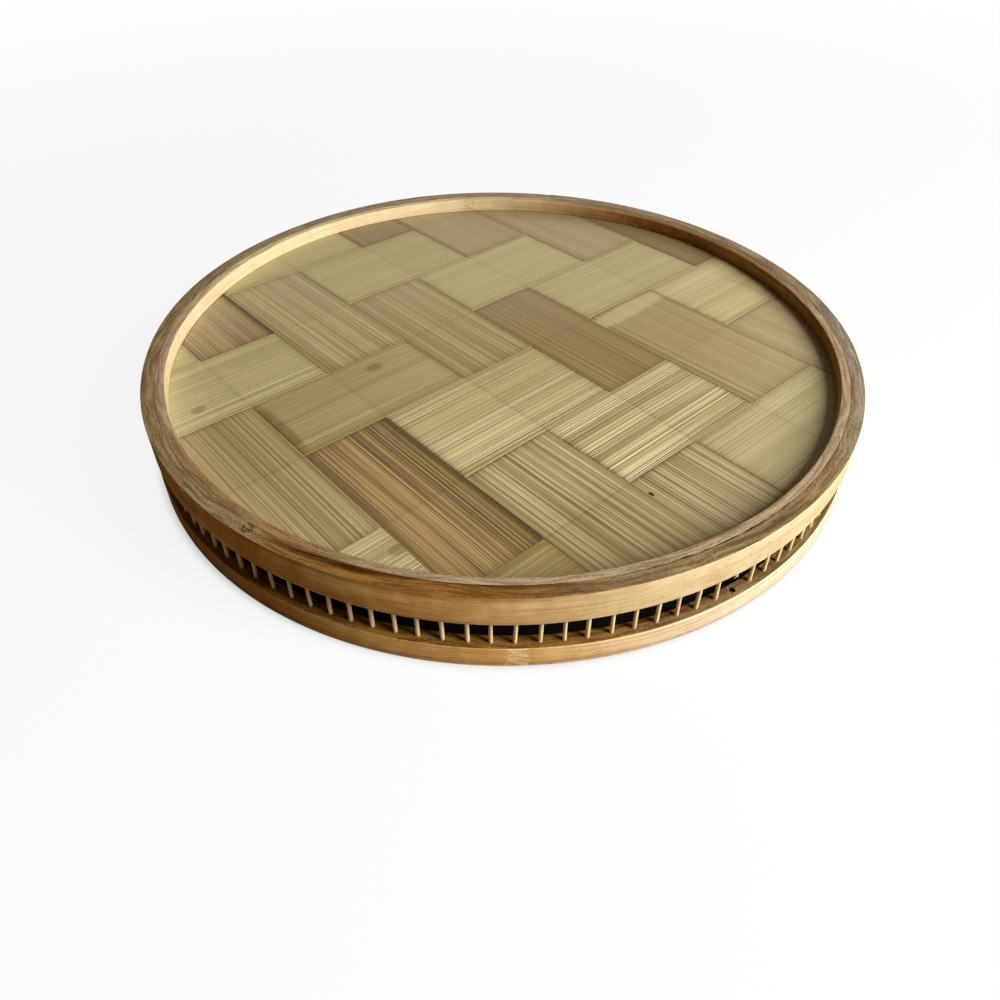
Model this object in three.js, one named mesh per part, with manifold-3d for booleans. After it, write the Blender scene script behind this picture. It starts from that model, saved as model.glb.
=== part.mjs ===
// A round bamboo tray. Its floor is a twill of wide, thin bamboo strips, held by the edge between two
// hoops inside a bent band. A row of slim pins stands the band on a foot ring.
// Millimetres, +Z up. The origin is on the tray's axis, on the surface that the foot ring stands on.

import * as THREE from 'three';
import { mergeGeometries, mergeVertices } from 'three/addons/utils/BufferGeometryUtils.js';
import Module from 'manifold-3d';

// The bent hoops, from the ground up.
const OUTER_DIAMETER = 300;
const FOOT_HEIGHT = 9.4;
const FOOT_WALL = 5.6;
const GALLERY_HEIGHT = 12.1;
const BAND_HEIGHT = 12.9;
const BAND_WALL = 5.5;
const RETAINER_WALL = 3.7;
const BEARER_WALL = 3.7;
const BEARER_HEIGHT = 3.4;
const EASED_EDGE = 0.8;
const HOOP_SEGMENTS = 116;

// The tapered lap where the two ends of a hoop meet, and the place in the gallery that each is at.
const LAP_LENGTH = 45;
const LAP_GAP = 0.3;
const LAP_STEPS = 6;
const LAP_OVERRUN = 1;
const BAND_LAP_PLACE = 52.5;
const RETAINER_LAP_PLACE = 60.5;
const FOOT_LAP_PLACE = 64.5;
const BEARER_LAP_PLACE = 70.5;

// The pins of the gallery. Their places are counted from the middle of the front, at -Y, towards +X.
const PIN_COUNT = 116;
const PIN_DIAMETER = 1.5;
const PIN_SIDES = 6;
const PIN_SEAT = 4;
const PIN_INSET = 2.2;
const FIRST_PIN_DEG = -1;
const BROKEN_PIN = 11;
const STUB_LENGTH = 3;
const STUB_TAPER = 1.6;
const STUB_TIP_DIAMETER = 0.5;

// The woven floor. Warp and weft lie square to each other, and the weave is turned in the tray.
// Each set of strips starts a lead outside the round mat, and has the trim cut off its width in all.
const WELL_DEPTH = 6.5;
const STRIP_THICKNESS = 0.6;
const STRIP_GAP = 1;
const WARP_STRIPS = 8;
const WARP_LEAD = 0.7;
const WARP_TRIM = 14.2;
const WEFT_STRIPS = 7;
const WEFT_LEAD = -4.3;
const WEFT_TRIM = 11.4;
const WEAVE_TURN_DEG = 41;

// Colours and sheens.
const BAND_COLOR = 0xbf9156;
const LINING_COLOR = 0xc2a374;
const BEARER_COLOR = 0xb08c58;
const FOOT_COLOR = 0xb98a4e;
const PIN_COLOR = 0xe0c48f;
const PALE_WARP_COLOR = 0xaf9d68;
const BROWN_WARP_COLOR = 0x93743f;
const WEFT_COLOR = 0xb9aa72;
const HOOP_ROUGHNESS = 0.5;
const PIN_ROUGHNESS = 0.6;
const STRIP_ROUGHNESS = 0.45;
const BROWN_STRIPS = [2, 5, 8];

// Fits.
const HOOP_CLEARANCE = 0.3;
const MAT_CLEARANCE = 0.4;
const SEAT_CLEARANCE = 0.25;
const LAYER_CLEARANCE = 0.25;
const PIN_CLEARANCE = 0.3;

// Heights and radii that follow from the sizes above.
const bandBottom = FOOT_HEIGHT + GALLERY_HEIGHT;
const rimTop = bandBottom + BAND_HEIGHT;
const matTop = rimTop - WELL_DEPTH;
const upperLayer = matTop - STRIP_THICKNESS / 2;
const lowerLayer = upperLayer - STRIP_THICKNESS - LAYER_CLEARANCE;
const matBottom = lowerLayer - STRIP_THICKNESS / 2;
const bearerTop = matBottom - SEAT_CLEARANCE;
const outerRadius = OUTER_DIAMETER / 2;
const bandBore = outerRadius - BAND_WALL;
const liningRadius = bandBore - HOOP_CLEARANCE;
const matRadius = bandBore - MAT_CLEARANCE;
const pinCircle = outerRadius - PIN_INSET;

const { degToRad } = THREE.MathUtils;
const wasm = await Module();
wasm.setup();

// A closed geometry as a solid that can be cut and joined.
function toSolid(geometry) {
  const bare = geometry.clone();
  bare.deleteAttribute('normal');
  bare.deleteAttribute('uv');
  const merged = mergeVertices(bare);
  const vertProperties = new Float32Array(merged.getAttribute('position').array);
  const triVerts = new Uint32Array(merged.getIndex().array);
  return new wasm.Manifold(new wasm.Mesh({ numProp: 3, vertProperties, triVerts }));
}

// A solid as a geometry for a mesh.
function toGeometry(solid) {
  const { vertProperties, triVerts } = solid.getMesh();
  const geometry = new THREE.BufferGeometry();
  geometry.setAttribute('position', new THREE.BufferAttribute(vertProperties, 3));
  geometry.setIndex(new THREE.BufferAttribute(triVerts, 1));
  geometry.computeVertexNormals();
  return geometry;
}

function bamboo(color, roughness) {
  return new THREE.MeshStandardMaterial({ color, roughness, metalness: 0 });
}

function piece(name, solid, color, roughness) {
  const mesh = new THREE.Mesh(toGeometry(solid), bamboo(color, roughness));
  mesh.name = name;
  return mesh;
}

// The section of a hoop, whose corners are eased by the lengths given, from inner bottom round to inner top.
function hoopSection(inner, outer, bottom, top, eased) {
  const [innerBottom, outerBottom, outerTop, innerTop] = eased;
  const corners = [
    new THREE.Vector2(inner, bottom + innerBottom),
    new THREE.Vector2(inner + innerBottom, bottom),
    new THREE.Vector2(outer - outerBottom, bottom),
    new THREE.Vector2(outer, bottom + outerBottom),
    new THREE.Vector2(outer, top - outerTop),
    new THREE.Vector2(outer - outerTop, top),
    new THREE.Vector2(inner + innerTop, top),
    new THREE.Vector2(inner, top - innerTop),
  ];
  const section = corners.filter((corner, i) => i === 0 || !corner.equals(corners[i - 1]));
  return section.concat(section[0]);
}

// The direction of a place in the gallery, from +X towards +Y. A half place lies between two pins.
function placeAngle(place) {
  return degToRad(FIRST_PIN_DEG - 90) + (2 * Math.PI * place) / PIN_COUNT;
}

// The thin slanted slit between the lapped ends of a hoop. It runs out through the wall as it goes round,
// and crosses the circle of the pins, or the middle of a wall that has no pins, at the place given.
function lapSlit(inner, outer, bottom, top, place) {
  const sweep = LAP_LENGTH / outer;
  const crossing = pinCircle < outer ? pinCircle : (inner + outer) / 2;
  const start = placeAngle(place) - (sweep * (crossing - inner)) / (outer - inner);
  const reach = (outer - inner) / LAP_STEPS;
  const innerEdge = [];
  const outerEdge = [];
  for (let step = -1; step <= LAP_STEPS + 1; step++) {
    const angle = start + (sweep * step) / LAP_STEPS;
    const direction = new THREE.Vector2(Math.cos(angle), Math.sin(angle));
    const radius = inner + reach * step;
    innerEdge.push(direction.clone().multiplyScalar(radius - LAP_GAP / 2));
    outerEdge.push(direction.clone().multiplyScalar(radius + LAP_GAP / 2));
  }
  const outline = new THREE.Shape([...outerEdge, ...innerEdge.reverse()]);
  const depth = top - bottom + 2 * LAP_OVERRUN;
  const slit = new THREE.ExtrudeGeometry(outline, { depth, bevelEnabled: false });
  return toSolid(slit.translate(0, 0, bottom - LAP_OVERRUN));
}

// A bent strip whose ends meet in a lap.
function lappedHoop(inner, outer, bottom, top, eased, lapPlace) {
  const section = hoopSection(inner, outer, bottom, top, eased);
  const ring = new THREE.LatheGeometry(section, HOOP_SEGMENTS).rotateX(Math.PI / 2);
  return toSolid(ring).subtract(lapSlit(inner, outer, bottom, top, lapPlace));
}

// An upright round at one of the gallery's places.
function upright(place, diameter, bottom, top) {
  const round = new THREE.CylinderGeometry(diameter / 2, diameter / 2, top - bottom, PIN_SIDES);
  round.rotateX(Math.PI / 2).translate(pinCircle, 0, (bottom + top) / 2);
  return round.rotateZ(placeAngle(place));
}

const allPlaces = Array.from({ length: PIN_COUNT }, (_, place) => place);
const pinPlaces = allPlaces.filter((place) => place !== BROKEN_PIN);
const holeDiameter = PIN_DIAMETER + 2 * PIN_CLEARANCE;

function footRing() {
  const inner = outerRadius - FOOT_WALL;
  const ring = lappedHoop(
    inner, outerRadius, 0, FOOT_HEIGHT, [0, EASED_EDGE, EASED_EDGE, 0], FOOT_LAP_PLACE,
  );
  const pins = pinPlaces.map((place) => (
    upright(place, PIN_DIAMETER, FOOT_HEIGHT - PIN_SEAT, bandBottom + PIN_SEAT)
  ));
  const socket = upright(BROKEN_PIN, holeDiameter, FOOT_HEIGHT - PIN_SEAT, FOOT_HEIGHT + PIN_SEAT);
  return ring.add(toSolid(mergeGeometries(pins))).subtract(toSolid(socket));
}

function outerHoop() {
  const band = lappedHoop(
    bandBore, outerRadius, bandBottom, rimTop, [0, EASED_EDGE, EASED_EDGE, 0], BAND_LAP_PLACE,
  );
  const holeTop = bandBottom + PIN_SEAT + PIN_CLEARANCE;
  const holes = allPlaces.map((place) => (
    upright(place, holeDiameter, bandBottom - PIN_SEAT, holeTop)
  ));
  return band.subtract(toSolid(mergeGeometries(holes)));
}

function innerHoop() {
  return lappedHoop(
    liningRadius - RETAINER_WALL, liningRadius, matTop + SEAT_CLEARANCE, rimTop,
    [0, 0, 0, EASED_EDGE], RETAINER_LAP_PLACE,
  );
}

function bearerHoop() {
  return lappedHoop(
    liningRadius - BEARER_WALL, liningRadius, bearerTop - BEARER_HEIGHT, bearerTop,
    [EASED_EDGE, 0, 0, 0], BEARER_LAP_PLACE,
  );
}

// What is left of the broken pin: it fills its hole in the band and hangs down to a splintered point.
function brokenPinStub() {
  const top = bandBottom + PIN_SEAT;
  const tip = bandBottom - STUB_LENGTH;
  const profile = [
    new THREE.Vector2(0, tip),
    new THREE.Vector2(STUB_TIP_DIAMETER / 2, tip),
    new THREE.Vector2(PIN_DIAMETER / 2, tip + STUB_TAPER),
    new THREE.Vector2(PIN_DIAMETER / 2, top),
    new THREE.Vector2(0, top),
  ];
  const stub = new THREE.LatheGeometry(profile, PIN_SIDES).rotateX(Math.PI / 2);
  return toSolid(stub.translate(pinCircle, 0, 0).rotateZ(placeAngle(BROKEN_PIN)));
}

// The lanes that one set of strips lies in, side by side across the mat.
function lanes(count, lead, trim) {
  const pitch = (2 * matRadius + trim) / count;
  const edge = (lane) => lane * pitch - matRadius - lead;
  const middle = (lane) => edge(lane) + pitch / 2;
  return { count, edge, middle, width: pitch - STRIP_GAP };
}

const warp = lanes(WARP_STRIPS, WARP_LEAD, WARP_TRIM);
const weft = lanes(WEFT_STRIPS, WEFT_LEAD, WEFT_TRIM);

// The twill: every strip goes over two and under two, one lane further on from row to row.
function weftOnTop(warpLane, weftLane) {
  return (warpLane + weftLane) % 4 < 2;
}

// The height of a strip's middle as points along it: flat over or under the lanes that it crosses, with
// a step in the gap between two lanes where it changes sides.
function stripLine(crossed, isOver) {
  const reach = matRadius + STRIP_GAP;
  const height = (lane) => (isOver(lane) ? upperLayer : lowerLayer);
  const line = [new THREE.Vector2(-reach, height(0))];
  for (let lane = 1; lane < crossed.count; lane++) {
    if (height(lane) !== height(lane - 1)) {
      line.push(new THREE.Vector2(crossed.edge(lane) - STRIP_GAP / 2, height(lane - 1)));
      line.push(new THREE.Vector2(crossed.edge(lane) + STRIP_GAP / 2, height(lane)));
    }
  }
  line.push(new THREE.Vector2(reach, height(crossed.count - 1)));
  return line;
}

// A whole strip along X, centred across on the X axis.
function stripBlank(line, width) {
  const half = new THREE.Vector2(0, STRIP_THICKNESS / 2);
  const face = line.map((point) => point.clone().add(half));
  const back = line.map((point) => point.clone().sub(half)).reverse();
  const side = new THREE.Shape([...face, ...back]);
  const blank = new THREE.ExtrudeGeometry(side, { depth: width, bevelEnabled: false });
  return blank.rotateX(Math.PI / 2).translate(0, width / 2, 0);
}

const matDisc = toSolid(
  new THREE.CylinderGeometry(matRadius, matRadius, 2 * rimTop, HOOP_SEGMENTS).rotateX(Math.PI / 2),
);

function warpStrip(lane) {
  const line = stripLine(weft, (crossed) => !weftOnTop(lane, crossed));
  const blank = stripBlank(line, warp.width).rotateZ(Math.PI / 2);
  return toSolid(blank.translate(warp.middle(lane), 0, 0)).intersect(matDisc);
}

function weftStrip(lane) {
  const line = stripLine(warp, (crossed) => weftOnTop(crossed, lane));
  const blank = stripBlank(line, weft.width);
  return toSolid(blank.translate(0, weft.middle(lane), 0)).intersect(matDisc);
}

// The mat of strips. Some of the warp strips are split from browner cane.
function wovenFloor() {
  const mat = new THREE.Group();
  for (let lane = 0; lane < WARP_STRIPS; lane++) {
    const color = BROWN_STRIPS.includes(lane + 1) ? BROWN_WARP_COLOR : PALE_WARP_COLOR;
    mat.add(piece(`warp_strip_${lane + 1}`, warpStrip(lane), color, STRIP_ROUGHNESS));
  }
  for (let lane = 0; lane < WEFT_STRIPS; lane++) {
    mat.add(piece(`weft_strip_${lane + 1}`, weftStrip(lane), WEFT_COLOR, STRIP_ROUGHNESS));
  }
  mat.rotation.z = degToRad(WEAVE_TURN_DEG);
  return mat;
}

const tray = new THREE.Group();
tray.add(piece('foot_ring', footRing(), FOOT_COLOR, HOOP_ROUGHNESS));
tray.add(piece('broken_pin_stub', brokenPinStub(), PIN_COLOR, PIN_ROUGHNESS));
tray.add(piece('outer_hoop', outerHoop(), BAND_COLOR, HOOP_ROUGHNESS));
tray.add(piece('bearer_hoop', bearerHoop(), BEARER_COLOR, HOOP_ROUGHNESS));
tray.add(wovenFloor());
tray.add(piece('inner_hoop', innerHoop(), LINING_COLOR, HOOP_ROUGHNESS));

export default tray;
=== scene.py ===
# %% [markdown]
# # A round bamboo tray with a woven floor
# The tray is a floor of wide, thin bamboo strips, held by its edge between bent hoops. A row of slim
# pins stands the hoops on a foot ring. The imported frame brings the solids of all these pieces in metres,
# with the origin on the tray's axis, where the foot ring stands. The pieces below are modelled where
# those solids are, with the hand-made unevenness and the bamboo that the solids leave out.

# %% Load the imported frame
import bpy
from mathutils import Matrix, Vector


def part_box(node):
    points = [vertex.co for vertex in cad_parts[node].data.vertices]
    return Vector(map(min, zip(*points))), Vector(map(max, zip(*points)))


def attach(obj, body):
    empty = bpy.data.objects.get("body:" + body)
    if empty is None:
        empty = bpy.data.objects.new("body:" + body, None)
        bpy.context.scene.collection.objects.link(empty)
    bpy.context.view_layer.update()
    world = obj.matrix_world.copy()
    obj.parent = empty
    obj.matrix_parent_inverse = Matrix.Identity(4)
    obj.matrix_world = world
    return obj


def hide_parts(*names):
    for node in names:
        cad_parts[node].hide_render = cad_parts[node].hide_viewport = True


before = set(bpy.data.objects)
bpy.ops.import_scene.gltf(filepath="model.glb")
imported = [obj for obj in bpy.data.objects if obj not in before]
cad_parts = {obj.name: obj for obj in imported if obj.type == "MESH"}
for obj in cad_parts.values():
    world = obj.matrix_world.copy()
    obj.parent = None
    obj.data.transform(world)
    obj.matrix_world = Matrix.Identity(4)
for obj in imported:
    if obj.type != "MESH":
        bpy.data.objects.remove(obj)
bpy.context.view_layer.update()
print("nodes in the frame:", len(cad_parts))

# %% [markdown]
# ## Sizes
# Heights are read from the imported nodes, so that each piece sits where its solid does. The walls are
# named here, because a ring's box only tells how wide the ring is. The floor is trimmed a little smaller
# than its solid, so that its edge ends inside the groove between the hoops.

# %% Name the sizes
import math
import random

import bmesh
import bpy
from mathutils import Matrix, Vector

mm = 0.001
TRAY_RADIUS = 150 * mm
BAND_WALL = 5.5 * mm
LINING_WALL = 3.9 * mm
FOOT_WALL = 5.6 * mm
FOOT_TOP = 9.4 * mm
PIN_CIRCLE = 147.0 * mm
PIN_COUNT = 116
FIRST_PIN = math.radians(-91)
BROKEN_PIN = 11
MAT_RADIUS = 142.3 * mm
WEAVE_TURN = math.radians(41)

BAND_BOTTOM, RIM_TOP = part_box("outer_hoop")[0].z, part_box("outer_hoop")[1].z
LINING_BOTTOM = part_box("inner_hoop")[0].z
BEARER_BOTTOM, BEARER_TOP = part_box("bearer_hoop")[0].z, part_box("bearer_hoop")[1].z
MAT_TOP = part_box("weft_strip_4")[1].z
BAND_BORE = TRAY_RADIUS - BAND_WALL
print("band from", round(BAND_BOTTOM, 4), "to", round(RIM_TOP, 4), "floor at", round(MAT_TOP, 4))

# %% [markdown]
# ## The camera
# The photograph looks down on the tray from close by, so the near side is drawn much larger than the
# far side. A camera could be aimed by eye, but here its place, tilt and lens were worked out from the
# ellipses of the rim. Its axes are written as a matrix, because a small roll is part of the picture.

# %% Set up the camera
EYE = (0, -0.31686, RIM_TOP + 0.19471)
PITCH, YAW, ROLL = 0.745456, -0.001627, 0.012277
ahead = Vector((math.sin(YAW) * math.cos(PITCH), math.cos(YAW) * math.cos(PITCH), -math.sin(PITCH)))
level = Vector((math.cos(YAW), -math.sin(YAW), 0))
above = level.cross(ahead)
right = level * math.cos(ROLL) + above * math.sin(ROLL)
up = above * math.cos(ROLL) - level * math.sin(ROLL)

camera_data = bpy.data.cameras.new("camera")
camera_data.sensor_fit = "HORIZONTAL"
camera_data.sensor_width = 36
camera_data.lens = 30.32
camera = bpy.data.objects.new("camera", camera_data)
camera.matrix_world = Matrix.Translation(EYE) @ Matrix((right, up, -ahead)).transposed().to_4x4()
bpy.context.scene.collection.objects.link(camera)
bpy.context.scene.camera = camera
print("camera", round(math.degrees(PITCH), 1), "degrees down, lens", camera_data.lens)

# %% [markdown]
# ## Writing finishes
# A finish is a tree of nodes. Dragging wires is slow to read back, so a wire is wrapped in a small class
# with Python's own operators: adding two wires adds a Math node. Every other kind of node comes from one
# method, which sets the node's settings first, because they decide which sockets it has.

# %% A wire
class Wire:
    """One output of a node. Arithmetic on wires adds Math nodes."""

    def __init__(self, sheet, socket):
        self.sheet = sheet
        self.socket = socket

    def __add__(self, other):
        return self.sheet.math("ADD", self, other)

    def __radd__(self, other):
        return self.sheet.math("ADD", other, self)

    def __sub__(self, other):
        return self.sheet.math("SUBTRACT", self, other)

    def __rsub__(self, other):
        return self.sheet.math("SUBTRACT", other, self)

    def __mul__(self, other):
        return self.sheet.math("MULTIPLY", self, other)

    def __rmul__(self, other):
        return self.sheet.math("MULTIPLY", other, self)

    def __truediv__(self, other):
        return self.sheet.math("DIVIDE", self, other)

    def __rtruediv__(self, other):
        return self.sheet.math("DIVIDE", other, self)


print("a wire adds, subtracts, multiplies and divides")

# %% A sheet of nodes
COAT_ROUGHNESS = 0.26


class Sheet:
    """The nodes of one finish."""

    def __init__(self, tree):
        self.tree = tree
        tree.nodes.clear()

    def node(self, kind, settings=None, sockets=None, out=0):
        made = self.tree.nodes.new(kind)
        for name, value in (settings or {}).items():
            setattr(made, name, value)
        for name, value in (sockets or {}).items():
            if isinstance(value, Wire):
                self.tree.links.new(value.socket, made.inputs[name])
            else:
                made.inputs[name].default_value = value
        if isinstance(out, tuple):
            return [Wire(self, made.outputs[name]) for name in out]
        return Wire(self, made.outputs[out]) if made.outputs else None

    def math(self, operation, *values):
        return self.node("ShaderNodeMath", {"operation": operation}, dict(enumerate(values)))

    def mix(self, share, first, second):
        """A colour between two colours."""
        return self.node("ShaderNodeMix", {"data_type": "RGBA"}, {0: share, 6: first, 7: second}, out=2)

    def rise(self, value, low, high):
        """0 at low and 1 at high, with a soft rise between. It falls if high is the lower one."""
        return self.node(
            "ShaderNodeMapRange",
            {"interpolation_type": "SMOOTHSTEP"},
            {"Value": value, "From Min": low, "From Max": high},
        )

    def point(self, x, y, z):
        return self.node("ShaderNodeCombineXYZ", None, {0: x, 1: y, 2: z})

    def noise(self, x, y, z, detail=2.0):
        sockets = {"Vector": self.point(x, y, z), "Scale": 1.0, "Detail": detail, "Roughness": 0.5}
        return self.node("ShaderNodeTexNoise", None, sockets)

    def spot(self, place, at, size):
        """1 near a point, fading to 0 at `size` from it."""
        away = self.node("ShaderNodeVectorMath", {"operation": "DISTANCE"}, {0: place, 1: at}, out="Value")
        return self.rise(away, size, size * 0.5)

    def surface(self, colour, roughness, relief, depth, shine, coat=0.0):
        """A bamboo surface whose small relief is shaded by a bump, under an even coat of varnish."""
        bump = self.node("ShaderNodeBump", None, {"Strength": 1.0, "Distance": depth, "Height": relief})
        sockets = {
            "Base Color": colour, "Roughness": roughness, "Normal": bump, "Specular IOR Level": shine,
            "Coat Weight": coat, "Coat Roughness": COAT_ROUGHNESS,
        }
        shader = self.node("ShaderNodeBsdfPrincipled", None, sockets)
        self.node("ShaderNodeOutputMaterial", None, {"Surface": shader})


print("a sheet mixes, rises, and makes noise, spots and surfaces")

# %% Colours and new finishes
def paint(code):
    """A colour from its web code, as the light values that nodes work in."""
    parts = [int(code[i : i + 2], 16) / 255 for i in (1, 3, 5)]
    return (*[c / 12.92 if c < 0.04045 else ((c + 0.055) / 1.055) ** 2.4 for c in parts], 1.0)


def new_finish(name):
    material = bpy.data.materials.new(name)
    material.use_nodes = True
    return material, Sheet(material.node_tree)


print("a middle grey is", round(paint("#808080")[0], 3), "in light")

# %% [markdown]
# ## Stage and light
# The photograph is lit by a soft window from the right of the front, and stands on white. One area light
# does that. It is tall, which softens the shadow of the rim on the woven floor, and a dim, warm world fills
# the shadows as a room does. The eye sees the ground part lit and part white, so that it keeps the tray's
# shadow without turning grey, and far off it fades into the white behind it. What it sends back up on to
# the tray is the brown of a table. Under the tray the ground is painted dark, as painted shade, which shows
# in the gaps between the pins.

# %% Lay the floor
floor_mesh = bpy.data.meshes.new("floor")
bm = bmesh.new()
bmesh.ops.create_grid(bm, x_segments=1, y_segments=1, size=6)
bm.to_mesh(floor_mesh)
bm.free()
floor = bpy.data.objects.new("floor", floor_mesh)
bpy.context.scene.collection.objects.link(floor)


def seen_directly(sheet):
    """1 for a ray from the eye, from a reflection or through glass."""
    rays = ("Is Camera Ray", "Is Glossy Ray", "Is Transmission Ray")
    camera_ray, glossy, through = sheet.node("ShaderNodeLightPath", out=rays)
    return sheet.math("MINIMUM", camera_ray + glossy + through, 1.0)


FLOOR_WHITE = 0.88
floor_finish, sheet = new_finish("pale_floor")
place = sheet.node("ShaderNodeTexCoord", out="Object")
from_axis = sheet.node("ShaderNodeVectorMath", {"operation": "LENGTH"}, {0: place}, out="Value")
clear = sheet.rise(from_axis, TRAY_RADIUS - 6 * mm, TRAY_RADIUS + 4 * mm)
seen = seen_directly(sheet)
table = sheet.mix(seen, paint("#7d6448"), paint("#f6f4f0"))
# Under the tray the ground is painted nearly black: painted shade, seen through the gaps between the pins.
ground = sheet.mix(clear, paint("#2b2725"), table)
lit = sheet.node("ShaderNodeBsdfDiffuse", None, {"Color": ground})
white = sheet.node("ShaderNodeEmission", None, {"Color": (1, 1, 1, 1), "Strength": 1.0})
far_off = sheet.rise(from_axis, 0.2, 1.0)
whiteness = clear * seen * (FLOOR_WHITE + (1 - FLOOR_WHITE) * far_off)
shown = sheet.node("ShaderNodeMixShader", None, {0: whiteness, 1: lit, 2: white})
sheet.node("ShaderNodeOutputMaterial", None, {"Surface": shown})
floor_mesh.materials.append(floor_finish)
print("the floor is", round(floor.dimensions.x), "metres wide")

# %% Light the room
world = bpy.data.worlds.new("studio")
world.use_nodes = True
bpy.context.scene.world = world
sheet = Sheet(world.node_tree)
dim = sheet.node("ShaderNodeBackground", None, {"Color": (1.0, 0.79, 0.55, 1), "Strength": 0.11})
plain = sheet.node("ShaderNodeBackground", None, {"Color": (1, 1, 1, 1), "Strength": 1.0})
both = sheet.node("ShaderNodeMixShader", None, {0: seen_directly(sheet), 1: dim, 2: plain})
sheet.node("ShaderNodeOutputWorld", None, {"Surface": both})

WINDOW_TURN, WINDOW_HEIGHT, WINDOW_AWAY = math.radians(-29), math.radians(34), 1.2
to_window = Vector((
    math.cos(WINDOW_HEIGHT) * math.cos(WINDOW_TURN),
    math.cos(WINDOW_HEIGHT) * math.sin(WINDOW_TURN),
    math.sin(WINDOW_HEIGHT),
))
window_data = bpy.data.lights.new("window", "AREA")
window_data.shape = "RECTANGLE"
window_data.size, window_data.size_y = 0.5, 0.9
window_data.energy = 21.5
window_data.color = (1.0, 0.98, 0.94)
window = bpy.data.objects.new("window", window_data)
aim = to_window.to_track_quat("Z", "Y").to_matrix().to_4x4()
window.matrix_world = Matrix.Translation(to_window * WINDOW_AWAY) @ aim
bpy.context.scene.collection.objects.link(window)
print("window of", window_data.energy, "W towards", [round(c, 2) for c in to_window])
bpy.context.scene.view_settings.view_transform = "Standard"

# %% [markdown]
# ## Setting a piece down
# Every piece ends the same way: its points are merged, its faces are turned outwards, it gets its
# finishes, and it rides on the tray's one body in place of the solids that it stands for. A hoop gets
# several finishes: a bent strip shows its planed face on its sides and its cut edge above and below, and
# the side that another hoop hides is painted dark, as painted shade, so that an open joint reads as a crack.

# %% A helper that finishes a piece
def finish_place(face, hidden_side):
    """0 for a side of a hoop, 1 for its top or bottom, and 2 for its outside (1) or inside (-1) if hidden."""
    middle = face.calc_center_median()
    outward = (face.normal.x * middle.x + face.normal.y * middle.y) / math.hypot(middle.x, middle.y)
    if abs(face.normal.z) > 0.7:
        return 1
    return 2 if outward * hidden_side > 0.5 else 0


def set_down(bm, name, finishes, nodes, hidden_side=0, sharp=35):
    bmesh.ops.remove_doubles(bm, verts=bm.verts, dist=1e-7)
    bmesh.ops.recalc_face_normals(bm, faces=bm.faces)
    bm.normal_update()
    if len(finishes) > 1:
        for face in bm.faces:
            face.material_index = finish_place(face, hidden_side)
    mesh = bpy.data.meshes.new(name)
    bm.to_mesh(mesh)
    bm.free()
    mesh.shade_smooth()
    mesh.set_sharp_from_angle(angle=math.radians(sharp))
    for finish in finishes:
        mesh.materials.append(finish)
    piece = bpy.data.objects.new(name, mesh)
    bpy.context.scene.collection.objects.link(piece)
    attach(piece, "root")
    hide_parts(*nodes)
    print(name, "has", len(mesh.polygons), "faces")
    return piece


print("a piece is merged, turned outwards, given its finishes and set on the tray")

# %% [markdown]
# ## Bamboo round a hoop
# A hoop is one strip of bamboo, bent into a ring, so its fibres run round the tray. A pattern on plain
# coordinates would run straight through. Dividing a point by its radius gives its direction, and noise
# on that direction, drawn out along it and squeezed across it, follows the bend without any seam.

# %% Where a point is on a hoop
def round_the_tray(sheet):
    place = sheet.node("ShaderNodeTexCoord", out="Object")
    x, y, z = sheet.node("ShaderNodeSeparateXYZ", None, {0: place}, out=(0, 1, 2))
    radius = sheet.math("SQRT", x * x + y * y)
    return x / radius, y / radius, radius, z


def ring_grain(sheet, way, along, across, shift=0.0, detail=2.0):
    """Noise along the bend: about `along` patches in a radian, and `across` fibres in a metre."""
    east, north, radius, height = way
    return sheet.noise(east * along, north * along, (radius + height) * across + shift, detail)


def near(sheet, way, degrees, width):
    """1 at one direction from the tray's axis, fading to 0 at `width` degrees from it."""
    turn = math.radians(degrees)
    facing = way[0] * math.cos(turn) + way[1] * math.sin(turn)
    return sheet.rise(facing, math.cos(math.radians(width)), math.cos(math.radians(width * 0.25)))


print("fibres run round the tray")
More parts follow.
